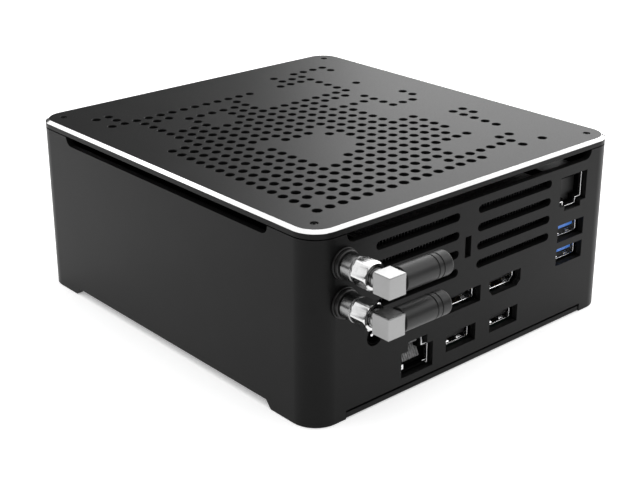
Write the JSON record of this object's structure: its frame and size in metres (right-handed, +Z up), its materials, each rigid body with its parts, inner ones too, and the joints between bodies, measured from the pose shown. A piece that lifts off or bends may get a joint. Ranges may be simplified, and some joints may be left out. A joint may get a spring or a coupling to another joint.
{
  "type": "mini pc",
  "caption": "Small flat desktop computer: aluminium case with a perforated lid, a rear wall of sockets and air slots, and swivelling stub antennas.",
  "frame": {"origin": "on the surface it stands on, under the middle of the overall box, antennas included", "axes": "+Z up, +Y towards the rear wall with the sockets, +X towards the side that carries the antennas"},
  "size_m": [0.15, 0.1864, 0.0684],
  "materials": {
    "black_anodised": "satin black anodised aluminium",
    "polished_silver": "polished nickel plating",
    "plated_steel": "tin plated sheet steel",
    "dark_steel": "black oxide steel",
    "black_rubber": "satin moulded rubber",
    "black_plastic": "matt moulded plastic",
    "blue_plastic": "matt moulded plastic",
    "circuit_board": "solder masked glass fibre board",
    "copper": "machined copper",
    "fin_aluminium": "plain sheet aluminium",
    "light_pipe": "clear moulded light pipe"
  },
  "bodies": {
    "chassis": {"antenna_lead_lower": "black_plastic", "antenna_lead_upper": "black_plastic", "antenna_socket_lower": "polished_silver", "antenna_socket_upper": "polished_silver", "audio_jack": "black_plastic", "base_screw_1": "dark_steel", "base_screw_2": "dark_steel", "base_screw_3": "dark_steel", "base_screw_4": "dark_steel", "blower_housing": "black_plastic", "blower_motor": "plated_steel", "body_shell": "black_anodised", "bottom_cover": "black_anodised", "cold_plate": "copper", "cpu": "dark_steel", "dc_jack": "black_plastic", "display_port": "plated_steel", "display_tongue": "black_plastic", "fin_stack": "fin_aluminium", "front_usb_1": "plated_steel", "front_usb_2": "plated_steel", "hdmi_port": "plated_steel", "hdmi_tongue": "black_plastic", "heat_pipe_1": "copper", "heat_pipe_2": "copper", "io_board": "circuit_board", "lan_port": "plated_steel", "lan_usb_stack": "plated_steel", "lid_screw_1": "dark_steel", "lid_screw_2": "dark_steel", "lid_screw_3": "dark_steel", "lid_screw_4": "dark_steel", "mainboard": "circuit_board", "power_light": "light_pipe", "ram_module": "circuit_board", "ram_socket": "black_plastic", "ring_nut_lower": "dark_steel", "ring_nut_upper": "dark_steel", "rubber_foot_1": "black_rubber", "rubber_foot_2": "black_rubber", "rubber_foot_3": "black_rubber", "rubber_foot_4": "black_rubber", "ssd_module": "circuit_board", "top_cover": "black_anodised", "usb2_port_1": "plated_steel", "usb2_port_2": "plated_steel", "usb2_tongue_1": "black_plastic", "usb2_tongue_2": "black_plastic", "usb3_tongue_lower": "blue_plastic", "usb3_tongue_upper": "blue_plastic", "wifi_card": "circuit_board"},
    "antenna_upper": {"antenna_elbow_upper": "polished_silver", "antenna_sleeve_upper": "black_rubber"},
    "antenna_lower": {"antenna_elbow_lower": "polished_silver", "antenna_sleeve_lower": "black_rubber"},
    "coupling_upper": {"coupling_nut_upper": "polished_silver"},
    "coupling_lower": {"coupling_nut_lower": "polished_silver"},
    "fan_rotor": {"blower_rotor": "black_plastic"},
    "button": {"power_button": "black_anodised"}
  },
  "joints": [
    {"name": "antenna_upper_swivel", "type": "hinge", "parent": "chassis", "child": "antenna_upper", "pos_m": [0.0622, 0.08908, 0.0561], "axis": [0, 1, 0], "range_deg": [0, 180]},
    {"name": "antenna_lower_swivel", "type": "hinge", "parent": "chassis", "child": "antenna_lower", "pos_m": [0.0622, 0.08908, 0.04265], "axis": [0, 1, 0], "range_deg": [-180, 0]},
    {"name": "coupling_upper_turn", "type": "hinge", "parent": "chassis", "child": "coupling_upper", "pos_m": [0.0622, 0.08908, 0.0561], "axis": [0, 1, 0], "continuous": true},
    {"name": "coupling_lower_turn", "type": "hinge", "parent": "chassis", "child": "coupling_lower", "pos_m": [0.0622, 0.08908, 0.04265], "axis": [0, 1, 0], "continuous": true},
    {"name": "fan_spin", "type": "hinge", "parent": "chassis", "child": "fan_rotor", "pos_m": [0.01595, 0.00661, 0.045], "axis": [0, 0, 1], "continuous": true},
    {"name": "power_button_press", "type": "slide", "parent": "chassis", "child": "button", "axis": [0, 1, 0], "range_m": [0, 0.0008], "stiffness_N_per_m": 400}
  ]
}
